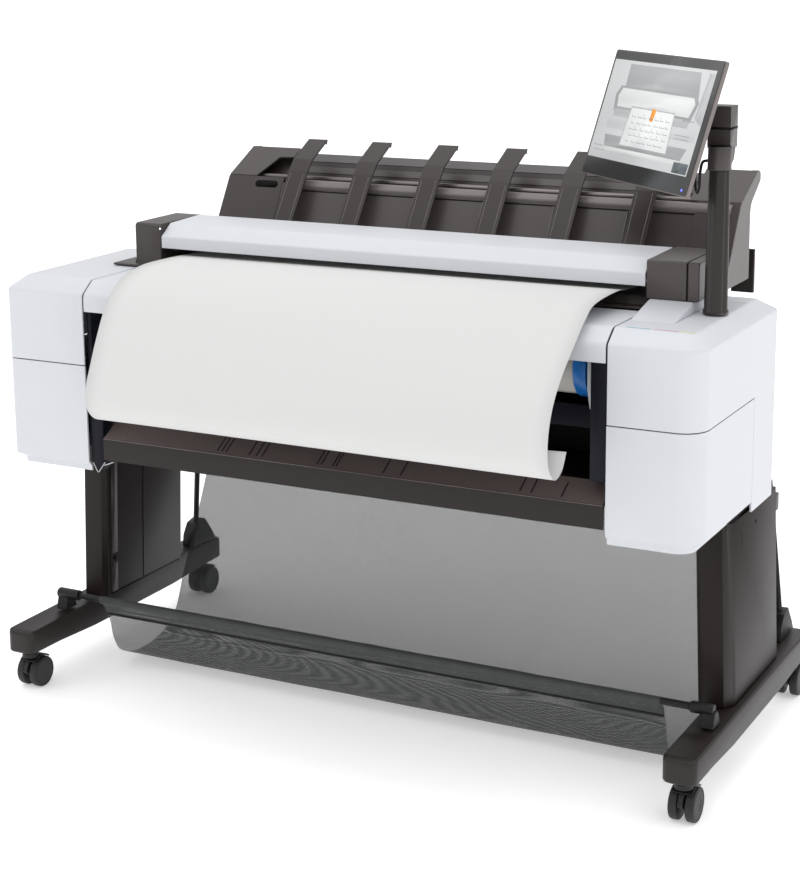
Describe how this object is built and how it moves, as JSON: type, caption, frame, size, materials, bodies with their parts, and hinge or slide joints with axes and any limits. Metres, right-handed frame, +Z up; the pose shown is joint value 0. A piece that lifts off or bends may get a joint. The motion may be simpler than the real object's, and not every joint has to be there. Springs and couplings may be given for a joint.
{
  "type": "large format plotter",
  "caption": "Wide-format roll-fed printer with a sheet scanner on top, a print stacker, a display on a pole and a basket stand on casters.",
  "frame": {"origin": "on the floor, midway along the length and midway between the front of the hanging sheet and the back of the feet", "axes": "+X along the machine towards the display's end, +Y from the operator's side to the back, +Z up"},
  "size_m": [1.434, 0.8038, 1.2654],
  "materials": {
    "leg_paint": "dark brown satin moulding, fine grain",
    "foot_paint": "dark brown powder paint over a casting",
    "beam_steel": "plain zinc-plated sheet steel",
    "caster_black": "black nylon, satin",
    "white_shell": "cool white satin moulding, fine grain",
    "dark_cover": "dark brown satin moulding",
    "black_plastic": "black moulding, matt",
    "taupe_plastic": "grey-brown satin moulding",
    "arm_cast": "painted casting, grey-brown",
    "cable_black": "black PVC",
    "display_glass": "dark frame around a lit grey panel, glossy",
    "pole_paint": "dark brown paint",
    "works_aluminium": "machined, satin",
    "works_steel": "ground steel",
    "grit_roller": "rubber-covered shaft",
    "spindle_blue": "blue hubs on a black shaft",
    "paper": "matt coated paper, slightly warm",
    "basket_rods": "black powder-coated rod",
    "basket_mesh": "dark grey open-weave mesh fabric"
  },
  "bodies": {
    "machine": {"left_leg": "leg_paint", "right_leg": "leg_paint", "left_foot": "foot_paint", "right_foot": "foot_paint", "chassis_beam": "beam_steel", "left_casing": "white_shell", "right_casing": "white_shell", "left_ink_rack": "black_plastic", "right_ink_rack": "black_plastic", "centre_cover": "white_shell", "rear_cover": "dark_cover", "left_bay_wall": "black_plastic", "right_bay_wall": "black_plastic", "bay_back": "black_plastic", "front_tray": "dark_cover", "mains_inlet": "black_plastic", "platen": "works_aluminium", "carriage_rail": "works_steel", "drive_motor": "black_plastic", "media_sheet": "paper", "scanner_base": "dark_cover", "scanner_left_cap": "taupe_plastic", "scanner_right_cap": "taupe_plastic", "stacker_left_end": "taupe_plastic", "stacker_right_end": "taupe_plastic", "stacker_front_panel": "taupe_plastic", "stacker_back_panel": "taupe_plastic", "stacker_rod": "works_steel", "stacker_arm_1": "taupe_plastic", "stacker_arm_2": "taupe_plastic", "stacker_arm_3": "taupe_plastic", "stacker_arm_4": "taupe_plastic", "stacker_arm_5": "taupe_plastic", "stacker_arm_6": "taupe_plastic", "display_pole": "pole_paint", "basket_front_bar": "black_plastic", "basket_rear_frame": "basket_rods", "basket_fabric": "basket_mesh"},
    "front_left_fork": {"front_left_caster_fork": "caster_black"},
    "front_left_wheels": {"front_left_caster_wheels": "caster_black"},
    "front_right_fork": {"front_right_caster_fork": "caster_black"},
    "front_right_wheels": {"front_right_caster_wheels": "caster_black"},
    "rear_left_fork": {"rear_left_caster_fork": "caster_black"},
    "rear_left_wheels": {"rear_left_caster_wheels": "caster_black"},
    "rear_right_fork": {"rear_right_caster_fork": "caster_black"},
    "rear_right_wheels": {"rear_right_caster_wheels": "caster_black"},
    "left_door": {"left_ink_door": "white_shell"},
    "right_door": {"right_ink_door": "white_shell"},
    "scanner_lid": {"scanner_cover": "white_shell"},
    "scan_feed": {"scanner_roller": "works_steel"},
    "roll": {"spindle": "spindle_blue", "paper_roll": "paper"},
    "feed": {"drive_roller": "grit_roller"},
    "print_carriage": {"carriage": "black_plastic"},
    "lever": {"roll_lever": "white_shell"},
    "arm": {"display_arm": "arm_cast", "display_cable": "cable_black"},
    "display": {"display_housing": "taupe_plastic", "display_glass": "display_glass"},
    "switch": {"power_switch": "black_plastic"}
  },
  "joints": [
    {"name": "front_left_swivel", "type": "hinge", "parent": "machine", "child": "front_left_fork", "pos_m": [-0.686, -0.2709, 0.09], "axis": [0, 0, 1], "continuous": true},
    {"name": "front_left_roll", "type": "hinge", "parent": "front_left_fork", "child": "front_left_wheels", "pos_m": [-0.686, -0.2519, 0.031], "axis": [1, 0, 0], "continuous": true},
    {"name": "front_right_swivel", "type": "hinge", "parent": "machine", "child": "front_right_fork", "pos_m": [0.686, -0.2709, 0.09], "axis": [0, 0, 1], "continuous": true},
    {"name": "front_right_roll", "type": "hinge", "parent": "front_right_fork", "child": "front_right_wheels", "pos_m": [0.686, -0.2519, 0.031], "axis": [1, 0, 0], "continuous": true},
    {"name": "rear_left_swivel", "type": "hinge", "parent": "machine", "child": "rear_left_fork", "pos_m": [-0.686, 0.3481, 0.09], "axis": [0, 0, 1], "continuous": true},
    {"name": "rear_left_roll", "type": "hinge", "parent": "rear_left_fork", "child": "rear_left_wheels", "pos_m": [-0.686, 0.3671, 0.031], "axis": [1, 0, 0], "continuous": true},
    {"name": "rear_right_swivel", "type": "hinge", "parent": "machine", "child": "rear_right_fork", "pos_m": [0.686, 0.3481, 0.09], "axis": [0, 0, 1], "continuous": true},
    {"name": "rear_right_roll", "type": "hinge", "parent": "rear_right_fork", "child": "rear_right_wheels", "pos_m": [0.686, 0.3671, 0.031], "axis": [1, 0, 0], "continuous": true},
    {"name": "left_door_hinge", "type": "hinge", "parent": "machine", "child": "left_door", "pos_m": [-0.7, 0.0256, 0.57], "axis": [0, 0, -1], "range_deg": [0, 90]},
    {"name": "right_door_hinge", "type": "hinge", "parent": "machine", "child": "right_door", "pos_m": [0.7, 0.0256, 0.57], "axis": [0, 0, 1], "range_deg": [0, 90]},
    {"name": "scanner_lid_hinge", "type": "hinge", "parent": "machine", "child": "scanner_lid", "pos_m": [0.0325, 0.0691, 0.886], "axis": [-1, 0, 0], "range_deg": [0, 55]},
    {"name": "scan_feed_spin", "type": "hinge", "parent": "machine", "child": "scan_feed", "pos_m": [0.0325, -0.0019, 0.876], "axis": [1, 0, 0], "continuous": true},
    {"name": "roll_spin", "type": "hinge", "parent": "machine", "child": "roll", "pos_m": [0, -0.1519, 0.75], "axis": [1, 0, 0], "continuous": true},
    {"name": "feed_spin", "type": "hinge", "parent": "machine", "child": "feed", "pos_m": [0, 0.0491, 0.766], "axis": [1, 0, 0], "continuous": true},
    {"name": "carriage_slide", "type": "slide", "parent": "machine", "child": "print_carriage", "axis": [1, 0, 0], "range_m": [-0.185, 0.68]},
    {"name": "roll_lever_pivot", "type": "hinge", "parent": "machine", "child": "lever", "pos_m": [0.488, -0.2169, 0.772], "axis": [-1, 0, 0], "range_deg": [0, 35]},
    {"name": "display_swivel", "type": "hinge", "parent": "machine", "child": "arm", "pos_m": [0.654, -0.0629, 1.103], "axis": [0, 0, 1], "range_deg": [-15, 60]},
    {"name": "display_tilt", "type": "hinge", "parent": "arm", "child": "display", "pos_m": [0.52864, 0.03087, 1.15005], "axis": [0.7513, -0.66, 0], "range_deg": [-15, 18]},
    {"name": "power_rocker", "type": "hinge", "parent": "machine", "child": "switch", "pos_m": [-0.422, 0.1566, 0.575], "axis": [-1, 0, 0], "range_deg": [0, 16]}
  ]
}
